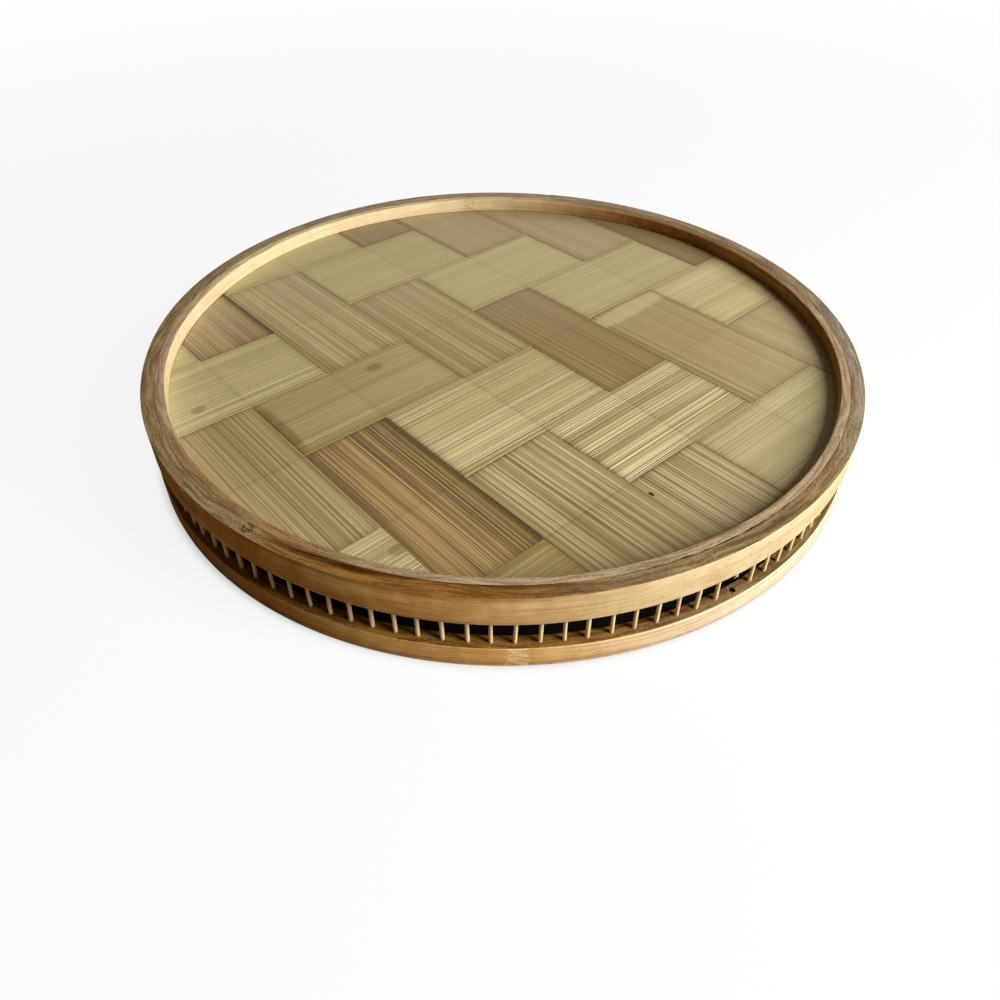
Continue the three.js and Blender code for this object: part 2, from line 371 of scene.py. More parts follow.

# %% [markdown]
# ## The planed face of a hoop
# The wide face is planed bamboo under thin varnish: soft bands and clouds of tone, fine fibres, a few long
# lines, and short dark dashes where the vessels are cut. A hoop may be tinted towards one side: painted
# light on a side turned to the window, painted shade on a side turned from it. It may also darken with
# height near one direction, which is painted shade as well. Where the cane had a joint, the face keeps a
# rough, stained scar. The bump is only as deep as the fibres, so that the face still looks smooth from a
# step away.

# %% The planed face
def planed_face(name, pale, deep, dash, scars, tints=(), shaded=(), roughness=0.42):
    material, sheet = new_finish(name)
    way = round_the_tray(sheet)
    broad = ring_grain(sheet, way, 2.4, 110, 3.0)
    clouds = ring_grain(sheet, way, 20, 70, 9.0, 3.0)
    fibre = ring_grain(sheet, way, 8, 900, 5.0, 4.0)
    fine = ring_grain(sheet, way, 26, 2600, 7.0)
    tone = sheet.rise(broad * 0.3 + clouds * 0.25 + fibre * 0.28 + fine * 0.17, 0.4, 0.6)
    colour = sheet.mix(tone, paint(deep), paint(pale))
    # Tints paint light or shade on to one side of a hoop.
    for degrees, width, light, shade in tints:
        other = sheet.mix(tone, paint(shade), paint(light))
        colour = sheet.mix(near(sheet, way, degrees, width), colour, other)
    # Darker with height near one direction: painted shade.
    for degrees, width, low, high, shade, strength in shaded:
        painted_shade = near(sheet, way, degrees, width) * sheet.rise(way[3], low, high)
        colour = sheet.mix(painted_shade * strength, colour, paint(shade))
    lines = sheet.rise(ring_grain(sheet, way, 1.6, 900, 15.0, 1.0), 0.6, 0.7)
    vessels = sheet.rise(ring_grain(sheet, way, 48, 1500, 11.0), 0.6, 0.72)
    colour = sheet.mix(lines * 0.35 + vessels * 0.4, colour, paint(dash))
    rough = roughness + 0.14 * (1 - fibre)
    relief = fibre * 0.55 + fine * 0.45
    for degrees, width, shade, strength in scars:
        torn = ring_grain(sheet, way, 45, 1000, degrees, 4.0)
        scar = sheet.rise(near(sheet, way, degrees, width) * 0.4 + torn, 0.76, 0.98) * strength
        colour = sheet.mix(scar, colour, paint(shade))
        rough = rough + 0.2 * scar
        relief = relief - 0.8 * scar
    sheet.surface(colour, rough, relief, 0.12 * mm, 0.0)
    return material


print("a planed face has bands, clouds, fibres, lines and vessels")

# %% [markdown]
# ## The hoops' faces
# Each hoop was split from another cane, so each has its own pale and deep tone. The window's side of the
# band and of the foot ring is painted paler, as painted light. The foot ring's left and the lining's wall on
# the right and at the front are painted darker, as painted shade. Copies of one finish would be quicker to
# write, but then the hoops would look cut from one board.

# %% Five planed faces
band_face = planed_face(
    "band_planed_face", "#fccd82", "#d3a058", "#94622c",
    [(-62, 2.6, "#cf9a72", 0.35), (38, 3.0, "#8a5a30", 0.6), (152, 3.2, "#94643a", 0.6)],
    # Paler towards the window: painted light.
    [(-30, 75, "#eedcb0", "#dac598")],
    # Darker towards the top edge at the front, where it rounds over: painted shade.
    [(-106, 30, RIM_TOP - 3.5 * mm, RIM_TOP + 0.5 * mm, "#6c471c", 0.7)],
)
foot_face = planed_face(
    "foot_planed_face", "#f8c880", "#d8a662", "#94622c",
    [(-87.5, 2.4, "#fbdfaa", 0.9), (14, 2.8, "#8c5b30", 0.6), (121, 3.0, "#99693a", 0.6)],
    # Paler towards the window and darker on the left, away from it: painted light and painted shade.
    [(-30, 60, "#f8ead0", "#e8d8b4"), (-130, 21, "#dca868", "#b8844e")],
)
lining_face = planed_face(
    "lining_planed_face", "#efdfb8", "#e6d0a2", "#c8a872",
    [(98, 2.4, "#b08a5a", 0.5), (-150, 2.8, "#b8945f", 0.4)],
    # Browner on the right and at the front, where the wall is turned from the window: painted shade.
    [(29, 86, "#a0703a", "#845626"), (-95, 75, "#8f7650", "#735a38")],
    # Darker towards the foot of the wall on the right: painted shade.
    [(20, 80, RIM_TOP - 3 * mm, LINING_BOTTOM, "#5a3410", 0.4)],
)
bearer_face = planed_face("bearer_planed_face", "#c79c60", "#a1743c", "#7a5226", [(-20, 3.0, "#80552c", 0.6)])
# The hidden sides of the band and the lining get a dark finish: painted shade in the joint between them.
hidden_painted_shade = planed_face("hidden_painted_shade", "#5c4630", "#3a2814", "#1c1006", [])
print("five planed faces, the first is", band_face.name)

# %% [markdown]
# ## The cut edge of a hoop
# Seen from above, a hoop shows the edge of its strip. Bamboo is dense and dark under the skin and open
# and pale inside, so the edge is streaked lengthwise, and its streaks drift out where the strip was sawn
# a little off the grain. Drifting the radius by slow noise before the fibres are drawn does just that. The
# sawn edge is rough, so most of the pattern is short grain, and the dark streaks keep to one radius.

# %% The cut edge
def cut_edge(name, pale, deep, dark, streaked=(), tints=(), nicks=()):
    material, sheet = new_finish(name)
    way = round_the_tray(sheet)
    east, north, radius, height = way
    drift = sheet.noise(east * 2.6, north * 2.6, 4.0)
    drifted = (east, north, radius + drift * 0.014, height)
    fibre = ring_grain(sheet, drifted, 10, 1000, 6.0, 3.0)
    grain = ring_grain(sheet, drifted, 110, 2200, 8.0, 3.0)
    tone = sheet.rise(fibre * 0.65 + grain * 0.35, 0.4, 0.6)
    colour = sheet.mix(tone, paint(deep), paint(pale))
    for degrees, width, light, shade in tints:
        other = sheet.mix(tone, paint(shade), paint(light))
        colour = sheet.mix(near(sheet, way, degrees, width), colour, other)
    streaks = sheet.rise(ring_grain(sheet, drifted, 4.5, 700, 13.0, 3.0), 0.48, 0.6)
    colour = sheet.mix(0.2 * streaks, colour, paint(dark))
    for degrees, width, from_axis, strength in streaked:
        away = sheet.math("ABSOLUTE", radius + (drift - 0.5) * 0.006 - from_axis)
        dark_here = near(sheet, way, degrees, width) * sheet.rise(away, 1.9 * mm, 0.3 * mm)
        colour = sheet.mix(dark_here * (0.65 + 0.35 * streaks) * strength, colour, paint(dark))
    pores = sheet.rise(ring_grain(sheet, drifted, 80, 2100, 17.0), 0.6, 0.68)
    colour = sheet.mix(pores * 0.2, colour, paint(dark))
    relief = fibre * 0.5 + grain * 0.4 - pores * 0.5
    for degrees, from_axis, size in nicks:
        turn = math.radians(degrees)
        at = (from_axis * math.cos(turn), from_axis * math.sin(turn), RIM_TOP)
        torn = sheet.rise(ring_grain(sheet, way, 110, 1300, degrees), 0.44, 0.54)
        nick = sheet.spot(sheet.node("ShaderNodeTexCoord", out="Object"), at, size) * torn
        colour = sheet.mix(nick * 0.85, colour, paint(dark))
        relief = relief - nick
    sheet.surface(colour, 0.54 + 0.16 * grain, relief, 0.15 * mm, 0.03)
    return material


print("a cut edge has fibres, grain, streaks and pores")

# %% Four cut edges
band_edge = cut_edge(
    "band_cut_edge", "#a68f66", "#7c6546", "#3c1c04",
    [
        (-113, 11, 146.5 * mm, 1.0), (-94, 16, 145.6 * mm, 1.0),
        (-80, 13, 149 * mm, 0.55), (-51, 10, 147.8 * mm, 0.4),
    ],
    [(-101, 27, "#9c7036", "#724c1e"), (90, 85, "#b4a288", "#8a7866"), (-4, 34, "#a4957e", "#7c6b58")],
    [(-124.5, 146.5 * mm, 3.2 * mm)],
)
lining_edge = cut_edge(
    "lining_cut_edge", "#c0aa8a", "#9a8162", "#5a4126",
    # Paler on the left, where the edge faces the window, darker where it turns away: painted light and shade.
    tints=[(128, 55, "#f0dcb2", "#ccb286"), (45, 42, "#967e5a", "#755c40"), (-128, 26, "#a88a5e", "#846643")],
)
foot_edge = cut_edge(
    "foot_cut_edge", "#9a7238", "#6a4822", "#38200a", [(-60, 30, 146 * mm, 0.5)],
    [(-40, 45, "#94784e", "#6c5434")],
)
bearer_edge = cut_edge("bearer_cut_edge", "#a98152", "#80592e", "#4c2c10")
print("four cut edges, the first is", band_edge.name)

# %% [markdown]
# ## Bending a hoop
# A hoop is a strip with eased corners, steamed, bent round and lapped: both ends are pared thin so that
# they make one wall together. A full spin would close the ring without a joint. So the section is spun
# by a full turn and the lap more, and then the two ends are pressed to their halves of the wall. A sum of
# slow waves keeps the ring from looking turned on a lathe.

# %% The section of a strip
def strip_section(inner, outer, bottom, top, eased_inside, eased_outside, eased_below):
    """The end of a strip, as one face over the X axis, with its corners rounded."""
    bm = bmesh.new()
    bmesh.ops.create_grid(bm, x_segments=1, y_segments=1, size=0.5)
    bmesh.ops.rotate(bm, verts=bm.verts, matrix=Matrix.Rotation(math.radians(90), 3, "X"))
    bmesh.ops.scale(bm, verts=bm.verts, vec=(outer - inner, 1, top - bottom))
    bmesh.ops.translate(bm, verts=bm.verts, vec=((inner + outer) / 2, 0, (bottom + top) / 2))
    for corner in list(bm.verts):
        eased = eased_outside if corner.co.x > (inner + outer) / 2 else eased_inside
        eased = eased if corner.co.z > (bottom + top) / 2 else eased_below
        bmesh.ops.bevel(
            bm, geom=[corner], offset=eased, affect="VERTICES", segments=4, profile=0.5, material=-1
        )
    # A pass through a mesh numbers the points afresh, which the bend below counts on.
    counted = bpy.data.meshes.new("section")
    bm.to_mesh(counted)
    bm.clear()
    bm.from_mesh(counted)
    bpy.data.meshes.remove(counted)
    return bm


print("a strip's end has", len(strip_section(0, 1, 0, 2, 0.1, 0.2, 0.1).verts), "points")

# %% Spin a section and lap its ends
LAP = 45 * mm / TRAY_RADIUS
LAP_TIP, LAP_RISE = 0.05, 0.86
STEP = math.radians(1.0)


def wave(turn, size, *parts):
    """A slow uneven wave round the ring, about `size` to either side."""
    return size * sum(math.sin(count * turn + phase) for count, phase in parts) / len(parts)


def bent_hoop(size, eased, lap_middle, shape):
    """A lapped ring. `shape` gives how far its inside, its outside and its height stray at a direction."""
    inner, outer, bottom, top = size
    bm = strip_section(inner, outer, bottom, top, *eased)
    in_section = len(bm.verts)
    turn = 2 * math.pi + LAP
    steps = round(turn / STEP)
    whole = bm.faces[:] + bm.edges[:] + bm.verts[:]
    bmesh.ops.spin(bm, geom=whole, cent=(0, 0, 0), axis=(0, 0, 1), angle=turn, steps=steps)
    bm.verts.index_update()
    for point in bm.verts:
        carried = turn * (point.index // in_section) / steps
        share = (math.hypot(point.co.x, point.co.y) - inner) / (outer - inner)
        if carried < LAP:
            share *= LAP_TIP + LAP_RISE * carried / LAP
        elif carried > 2 * math.pi:
            past = (carried - 2 * math.pi) / LAP
            share = 1 - (1 - share) * (1 - LAP_TIP - LAP_RISE * past)
        angle = lap_middle - LAP / 2 + carried
        stray_in, stray_out, stray_up = shape(angle)
        reach = inner + stray_in + share * (outer - inner + stray_out - stray_in)
        point.co = (reach * math.cos(angle), reach * math.sin(angle), point.co.z + stray_up)
    open_edges = [edge for edge in bm.edges if edge.is_boundary]
    if open_edges:
        bmesh.ops.holes_fill(bm, edges=open_edges)
    return bm


def gallery_angle(place):
    return FIRST_PIN + 2 * math.pi * place / PIN_COUNT


print("a lap takes", round(math.degrees(LAP), 1), "degrees of the ring")

# %% [markdown]
# ## The outer band
# The band is the tallest hoop. It carries the pins from below and takes the other hoops inside. It keeps
# the lap at the back, where the eye seldom looks. Its inside and the outsides of the hoops in it stray
# together, so that they stay one wall.

# %% Bend the band
def joint_line(turn):
    """How far the joint between the band and the hoops inside it strays."""
    return wave(turn, 0.25 * mm, (2, 0.4), (5, 1.9))


def rim_height(turn):
    return wave(turn, 0.15 * mm, (2, 2.2), (4, 0.8))


def band_shape(turn):
    return joint_line(turn), wave(turn, 0.3 * mm, (3, 1.2), (7, 0.3)), rim_height(turn)


band_size = (BAND_BORE, TRAY_RADIUS, BAND_BOTTOM, RIM_TOP)
band_bm = bent_hoop(band_size, (0.12 * mm, 0.25 * mm, 0.7 * mm), gallery_angle(52.5), band_shape)
set_down(band_bm, "outer_band", [band_face, band_edge, hidden_painted_shade], ["outer_hoop"], -1)

# %% [markdown]
# ## The lining hoop
# A thinner hoop holds the floor down from above. Its inner edge was pared round by hand and wavers. At the
# right of the front it has sprung away from the band, so that the joint is a dark, ragged crack there.

# %% Bend the lining
CRACK_MIDDLE, CRACK_REACH = math.radians(-60), math.radians(17)


def crack(turn):
    """1 in the middle of the crack, and 0 from its ends on."""
    from_middle = math.remainder(turn - CRACK_MIDDLE, 2 * math.pi)
    return max(0.0, math.cos(0.5 * math.pi * min(1.0, abs(from_middle) / CRACK_REACH)))


def lining_shape(turn):
    inside = wave(turn, 0.5 * mm, (3, 0.7), (5, 2.6), (8, 1.1))
    ragged = 0.32 * mm + wave(turn, 0.5 * mm, (97, 0.3), (143, 1.5), (61, 2.2))
    opening = crack(turn) * max(0.0, ragged)
    return inside, joint_line(turn) - 0.06 * mm - opening, rim_height(turn) - 0.05 * mm


lining_size = (BAND_BORE - LINING_WALL, BAND_BORE, LINING_BOTTOM, RIM_TOP)
lining_bm = bent_hoop(lining_size, (0.8 * mm, 0.12 * mm, 0.12 * mm), gallery_angle(60.5), lining_shape)
lining_finishes = [lining_face, lining_edge, hidden_painted_shade]
set_down(lining_bm, "lining_hoop", lining_finishes, ["inner_hoop"], 1)

# %% [markdown]
# ## The bearer
# Under the floor a low hoop bears it. It is only seen from below or through the pins, but it is a bent
# strip like the others.

# %% Bend the bearer
def bearer_shape(turn):
    return wave(turn, 0.3 * mm, (3, 2.0), (5, 0.6)), joint_line(turn) - 0.3 * mm, 0.0


bearer_size = (BAND_BORE - LINING_WALL, BAND_BORE, BEARER_BOTTOM, BEARER_TOP)
bearer_bm = bent_hoop(bearer_size, (0.5 * mm, 0.3 * mm, 0.8 * mm), gallery_angle(70.5), bearer_shape)
set_down(bearer_bm, "bearer_ring", [bearer_face, bearer_edge], ["bearer_hoop"])

# %% [markdown]
# ## The foot ring
# The foot ring stands on the table and carries the pins. One pin has snapped, and its empty hole is still
# there. A hole could be drawn as a dark spot, but a real one catches the light, so a round cutter is
# taken out of the ring with a Boolean modifier, which is applied at once. The faces inside the hole are
# still given a dark finish, as painted shade.

# %% Taking one mesh out of another
def drilled(bm, cutter):
    """The mesh of bm with the cutter's mesh taken out."""
    meshes = [bpy.data.meshes.new("drilled"), bpy.data.meshes.new("cutter")]
    things = []
    for made, mesh in zip((bm, cutter), meshes):
        bmesh.ops.remove_doubles(made, verts=made.verts, dist=1e-7)
        bmesh.ops.recalc_face_normals(made, faces=made.faces)
        made.to_mesh(mesh)
        made.free()
        things.append(bpy.data.objects.new(mesh.name, mesh))
        bpy.context.scene.collection.objects.link(things[-1])
    cut = things[0].modifiers.new("cut", "BOOLEAN")
    cut.operation = "DIFFERENCE"
    cut.solver = "EXACT"
    cut.object = things[1]
    result = things[0].evaluated_get(bpy.context.evaluated_depsgraph_get()).to_mesh()
    left = bmesh.new()
    left.from_mesh(result)
    for thing, mesh in zip(things, meshes):
        bpy.data.objects.remove(thing)
        bpy.data.meshes.remove(mesh)
    return left


print("a cutter is taken out with a Boolean")

# %% Bend the foot ring and drill the empty hole
def foot_shape(turn):
    """The foot is a little smaller on the right."""
    inside = wave(turn, 0.3 * mm, (2, 1.4), (5, 0.2))
    outside = wave(turn, 0.3 * mm, (3, 2.4), (6, 1.0))
    return inside, outside - 0.5 * mm * max(0.0, math.cos(turn - 0.3)), 0.0


def upright(place, height, inset=0.0):
    """A point over the gallery's circle, at one of its places."""
    angle = gallery_angle(place)
    return Vector(((PIN_CIRCLE - inset) * math.cos(angle), (PIN_CIRCLE - inset) * math.sin(angle), height))


cutter = bmesh.new()
hole_middle = Matrix.Translation(upright(BROKEN_PIN, FOOT_TOP - 1.8 * mm))
bmesh.ops.create_cone(
    cutter, cap_ends=True, segments=14, radius1=0.95 * mm, radius2=1.15 * mm, depth=4.4 * mm,
    matrix=hole_middle,
)
foot_size = (TRAY_RADIUS - FOOT_WALL, TRAY_RADIUS, 0.0, FOOT_TOP)
foot_bm = bent_hoop(foot_size, (0.3 * mm, 0.8 * mm, 0.6 * mm), gallery_angle(64.5), foot_shape)
foot = set_down(drilled(foot_bm, cutter), "foot_hoop", [foot_face, foot_edge], ["foot_ring"])
# The inside of the empty hole gets a dark finish: painted shade.
foot.data.materials.append(planed_face("socket_painted_shade", "#4a2414", "#241008", "#0c0602", []))
for face in foot.data.polygons:
    from_hole = (face.center - hole_middle.translation).length
    if from_hole < 2.4 * mm and face.center.z < FOOT_TOP - 0.1 * mm:
        face.material_index = 2

# %% [markdown]
# ## The pins
# The pins are split slivers, pushed into holes in the foot ring and the band. None is quite round or quite
# upright. Each is a short cone with few sides, because there are over a hundred, and a seeded random
# number turns, leans and thins it a little, so that the row looks the same in every render.

# %% The finish of a split sliver
def sliver_finish(name, pale, deep):
    material, sheet = new_finish(name)
    place = sheet.node("ShaderNodeTexCoord", out="Object")
    x, y, z = sheet.node("ShaderNodeSeparateXYZ", None, {0: place}, out=(0, 1, 2))
    fibre = sheet.noise(x * 1900, y * 1900, z * 60, 3.0)
    stain = sheet.noise(x * 120, y * 120, z * 90, 2.0)
    colour = sheet.mix(sheet.rise(fibre * 0.6 + stain * 0.4, 0.36, 0.64), paint(deep), paint(pale))
    foot_stain = sheet.rise(z, FOOT_TOP + 1.6 * mm, FOOT_TOP - 0.4 * mm)
    colour = sheet.mix(foot_stain * 0.3, colour, paint("#8a5c2c"))
    sheet.surface(colour, 0.5 + 0.2 * fibre, fibre, 0.1 * mm, 0.2)
    return material


pin_finish = sliver_finish("split_sliver", "#ffeabc", "#eccc92")
torn_finish = sliver_finish("torn_fibre", "#e6bf86", "#b07c40")
print("slivers are", pin_finish.name, "and", torn_finish.name)

# %% Stand the pins
chance = random.Random(7)


def sliver(bm, start, end, thick, thin, sides):
    """A thin cone from one point to another."""
    run = end - start
    rolled = Matrix.Rotation(chance.uniform(0, 6.28), 4, "Z")
    turn = run.to_track_quat("Z", "Y").to_matrix().to_4x4() @ rolled
    bmesh.ops.create_cone(
        bm, cap_ends=True, segments=sides, radius1=thick, radius2=thin, depth=run.length,
        matrix=Matrix.Translation((start + end) / 2) @ turn,
    )


pins_bm = bmesh.new()
for place in range(PIN_COUNT):
    if place == BROKEN_PIN:
        continue
    start = upright(place + chance.uniform(-0.05, 0.05), FOOT_TOP - 3 * mm)
    end = upright(place + chance.uniform(-0.05, 0.05), BAND_BOTTOM + 3 * mm, chance.uniform(-0.2, 0.2) * mm)
    thick = chance.uniform(0.72, 0.84) * mm
    sliver(pins_bm, start, end, thick, thick * chance.uniform(0.9, 1.0), 8)
set_down(pins_bm, "gallery_pins", [pin_finish], ["foot_ring"], sharp=50)

# %% [markdown]
# ## The broken pin and torn fibres
# Where the sliver snapped, a splintered stub hangs from the band. Drilling tore small fibres out of the
# ring as well, and they stand up round many of the pins. Each fibre is a cone with three or four sides.

# %% The stub
stub_bm = bmesh.new()
stub_top = upright(BROKEN_PIN, BAND_BOTTOM + 3 * mm)
sliver(stub_bm, upright(BROKEN_PIN, BAND_BOTTOM - 5.0 * mm), stub_top, 0.55 * mm, 0.75 * mm, 8)
for splinter in range(5):
    lean = Vector((chance.uniform(-0.5, 0.5) * mm, chance.uniform(-0.5, 0.5) * mm, 0))
    tip = upright(BROKEN_PIN, BAND_BOTTOM - chance.uniform(5.6, 7.0) * mm) + lean
    root = upright(BROKEN_PIN, BAND_BOTTOM - 4.4 * mm) + lean * 0.5
    sliver(stub_bm, root, tip, 0.26 * mm, 0.05 * mm, 5)
set_down(stub_bm, "snapped_pin_stub", [pin_finish], ["broken_pin_stub"], sharp=50)

# %% The torn fibres
torn_bm = bmesh.new()
for place in range(PIN_COUNT):
    torn = 5 if place == BROKEN_PIN else chance.choice((0, 0, 1, 2, 3))
    for fibre in range(torn):
        way = chance.uniform(0, 2 * math.pi)
        out = Vector((math.cos(way), math.sin(way), 0))
        root = upright(place, FOOT_TOP - 0.15 * mm) + out * (1.2 if place == BROKEN_PIN else 0.8) * mm
        tip = root + out * chance.uniform(0.3, 1.2) * mm + Vector((0, 0, chance.uniform(0.3, 0.9) * mm))
        sliver(torn_bm, root, tip, chance.uniform(0.12, 0.24) * mm, 0.03 * mm, 4)
set_down(torn_bm, "torn_fibres", [torn_finish], ["foot_ring"], sharp=50)

# %% [markdown]
# ## Split bamboo for the floor
# A floor strip is split, not sawn, so its face is a bundle of threads from end to end: pale ridges, dark
# grooves and a few bright streaks under the varnish. All of them are noise that is drawn out along the
# strip and cut off sharply, in several widths, because the eye knows bamboo by its mix of widths. Where the
# tray is worn smooth, at the back, the threads stand out less.

# %% The threads of a strip
def threads(sheet, look, along, across, share, seed, fresh):
    """The colour of split bamboo, and how grooved, how bright and how hairy it is."""
    sway = sheet.noise(along * 9, across * 30, seed, 1.0)
    swaying = across + (sway - 0.5) * 0.0008

    def drawn(width, breaks, shift, detail=1.0):
        """Noise with threads about `width` millimetres wide, and `breaks` changes along a metre."""
        return sheet.noise(along * breaks, swaying / (width * mm), seed + shift, detail)

    hair = drawn(0.33, 36, 3, 2.0)
    bands = drawn(7, 1.6, 1, 2.0)
    lines = drawn(look["width"] * 1.6, 2.4, 2) * 0.5 + drawn(look["width"], 1.8, 8) * 0.5
    tone = sheet.rise(bands * 0.35 + lines * 0.45 + hair * 0.2, 0.43, 0.57)
    tone = 0.5 + (tone - 0.5) * (0.5 + 0.5 * fresh)
    colour = sheet.mix(tone, paint(look["deep"]), paint(look["pale"]))
    rims = sheet.rise(sheet.math("ABSOLUTE", share), 0.4, 0.9)
    lively = (look["even"] + (1 - look["even"]) * rims) * (0.3 + 0.7 * fresh)
    patchy = sheet.rise(drawn(16, 5, 5), 0.3, 0.5)
    grooves = sheet.rise(drawn(look["width"], 1.2, 4), 0.53, 0.61) * patchy * lively
    colour = sheet.mix(grooves * look["grooves"], colour, paint(look["dark"]))
    glinting = sheet.rise(drawn(13, 7, 7), 0.36, 0.58)
    bright = sheet.rise(drawn(look["width"] * 0.8, 3.0, 6), 0.54, 0.61) * glinting * lively
    colour = sheet.mix(bright * look["glints"], colour, paint(look["bright"]))
    return colour, grooves, bright, hair


print("a strip has bands, lines, grooves, glints and hair")

# %% [markdown]
# ## What happened to a strip
# Over the threads comes what the strip has met with. Each crossing gets a tone of its own, as painted sheen
# for the slight tilt of its face, the knife left a pale line along both edges, and where the strip dips it is
# painted darker, painted shade with some dirt. The mesh carries these as attributes: the tone of the
# crossing, the share of the way from edge to edge, how near the next dip is, and how far the face has sunk.
# Some strips also have a stained end, a scorched edge, or a fleck. Over the whole floor light and shade are
# painted: a pale sheen at the back and on the right, light thrown by the lit wall on the left, shade along
# the wall on the right, a dark reflection of the wall at the back right, and a thin sheen all over. A Mapping
# node turns the pattern with the weave.

# %% Where light and shade are painted on the whole floor
PAINTED_SHEEN = 0.04


def painted_light_places(sheet, x, y):
    """How strongly, where and to which tone light and shade are painted on the floor."""
    from_axis = sheet.math("SQRT", x * x + y * y)
    # Painted sheen at the back.
    back = sheet.rise(y - 0.1 * x, -10 * mm, 90 * mm)
    # Painted sheen on the right, towards the window.
    right_side = sheet.rise(x - 0.5 * y, 80 * mm, 150 * mm)
    # Painted light thrown by the lit wall on the left.
    left_wall = sheet.rise(-1 * x, 105 * mm, 142 * mm) * sheet.rise(y, 60 * mm, 20 * mm)
    # Painted shade along the wall on the right.
    right_wall = sheet.rise(from_axis, 114 * mm, 138 * mm) * sheet.rise(x - y, 110 * mm, 185 * mm)
    # Painted dark reflection of the wall in the back right corner.
    back_corner = sheet.rise(from_axis, 126 * mm, 141 * mm) * sheet.rise(x + y, 90 * mm, 160 * mm)
    return [
        (0.13, back, "#dcdcc4"), (0.15, right_side, "#d4cdb8"), (0.25, left_wall, "#eee0b4"),
        (0.35, right_wall, "#5a4418"), (0.45, back_corner, "#5e3c12"),
    ]


# Light and shade are painted on the floor in five places.
print("the floor is worn in five places")

# %% The finish of a floor strip
def strip_finish(name, turn, middle, look, seed, stain=None, scorched=0, flecks=()):
    material, sheet = new_finish(name)
    place = sheet.node("ShaderNodeTexCoord", out="Object")
    turned = sheet.node("ShaderNodeMapping", None, {"Vector": place, "Rotation": (0, 0, -turn)})
    along, across = sheet.node("ShaderNodeSeparateXYZ", None, {0: turned}, out=(0, 1))
    across = across - middle
    x, y = sheet.node("ShaderNodeSeparateXYZ", None, {0: place}, out=(0, 1))
    fresh = sheet.rise(y, 60 * mm, -80 * mm)
    share = sheet.node("ShaderNodeAttribute", {"attribute_name": "share"}, out="Fac")
    colour, grooves, bright, hair = threads(sheet, look, along, across, share, seed, fresh)
    # Each crossing's own tone is painted sheen, for the slight tilt of its face.
    tilt_sheen = sheet.node("ShaderNodeAttribute", {"attribute_name": "tilt_sheen"}, out="Fac")
    darker = sheet.mix(0.1, colour, paint("#5c4a22"))
    paler = sheet.mix(0.04, colour, paint("#d8d0a0"))
    colour = sheet.mix(tilt_sheen, darker, paler)
    # Painted light and shade over the whole floor.
    for strength, where, shade in painted_light_places(sheet, x, y):
        colour = sheet.mix(strength * where, colour, paint(shade))
    # A thin painted sheen over the whole floor.
    colour = sheet.mix(PAINTED_SHEEN, colour, paint("#d8d8d8"))
    # Darker near each dip and along the strip's edges: painted shade with some dirt.
    dusk = sheet.node("ShaderNodeAttribute", {"attribute_name": "dusk"}, out="Fac")
    colour = sheet.mix(0.6 * dusk, colour, paint("#5a4014"))
    edges = sheet.rise(sheet.math("ABSOLUTE", share), 0.955, 0.99)
    colour = sheet.mix(0.2 * edges, colour, paint(look["bright"]))
    # Darker where the face sinks into a dip: painted shade with some dirt.
    sunk = sheet.node("ShaderNodeAttribute", {"attribute_name": "sunk"}, out="Fac")
    colour = sheet.mix(sunk * (0.25 + 0.5 * fresh), colour, paint("#2e200a"))
    if stain:
        far, close, shade, strength = stain
        colour = sheet.mix(strength * sheet.rise(along, far * mm, close * mm), colour, paint(shade))
    if scorched:
        ragged = share * scorched + (hair - 0.5) * 0.2
        colour = sheet.mix(0.7 * sheet.rise(ragged, 0.72, 0.98), colour, paint(look["dark"]))
    for at_along, at_across, length, width, strength, shade in flecks:
        stretched = sheet.point(along, across * (length / width), 0.0)
        at = (at_along * mm, at_across * mm * length / width, 0)
        colour = sheet.mix(strength * sheet.spot(stretched, at, length * mm), colour, paint(shade))
    rough = 0.42 + 0.16 * hair + 0.12 * grooves
    relief = 0.5 + 0.2 * hair + 0.4 * bright - 0.4 * grooves
    sheet.surface(colour, rough, relief, 0.2 * mm, 0.1, 0.05)
    return material


print("a strip can be stained, scorched and flecked")

# %% [markdown]
# ## Choosing the strips
# The weaver took strips from several canes: pale olive ones the one way, and khaki, beige and toasted brown
# ones the other. A look names a strip's tones and how lively its threads are. One look for all would give
# a plain mat, and one for each strip a quilt, so a few looks are shared, and single stains and flecks are
# set on top, in millimetres along and across the strip.

# %% The looks of the strips
def strip_look(pale, deep, dark, bright, grooves, glints, width, even):
    """A strip's tones, how strong its grooves and glints are, how wide its threads, and how even they are."""
    names = ("pale", "deep", "dark", "bright", "grooves", "glints", "width", "even")
    return dict(zip(names, (pale, deep, dark, bright, grooves, glints, width, even)))


KHAKI = strip_look("#b6a26c", "#957f4c", "#57441a", "#ddce91", 0.7, 0.6, 0.9, 0.9)
TOASTED = strip_look("#c0a05c", "#5e3c1a", "#1c0c02", "#dec080", 1.0, 0.7, 0.5, 1.0)
STREAKED = strip_look("#cab980", "#8f7a48", "#463410", "#ece0a8", 0.95, 0.7, 0.85, 1.0)
GREYISH = strip_look("#bfad76", "#97814e", "#54411c", "#e0d49c", 0.85, 0.6, 1.0, 1.0)
BROWNISH = strip_look("#9c824c", "#7c6236", "#4c3412", "#b79f63", 0.6, 0.35, 1.4, 0.8)
BEIGE = strip_look("#b19b67", "#947e4e", "#5a4520", "#d1c18b", 0.6, 0.4, 1.4, 0.8)
OLIVE = strip_look("#c2b67b", "#a89b61", "#665424", "#f4ecb4", 0.6, 0.7, 1.0, 0.5)
GOLDEN = strip_look("#d2c388", "#a8985f", "#5e4a1c", "#fdf6c6", 0.9, 0.95, 0.8, 0.75)
GILDED = strip_look("#d6c88c", "#9c8a50", "#4e3a10", "#fffbd0", 1.0, 1.0, 0.9, 0.85)
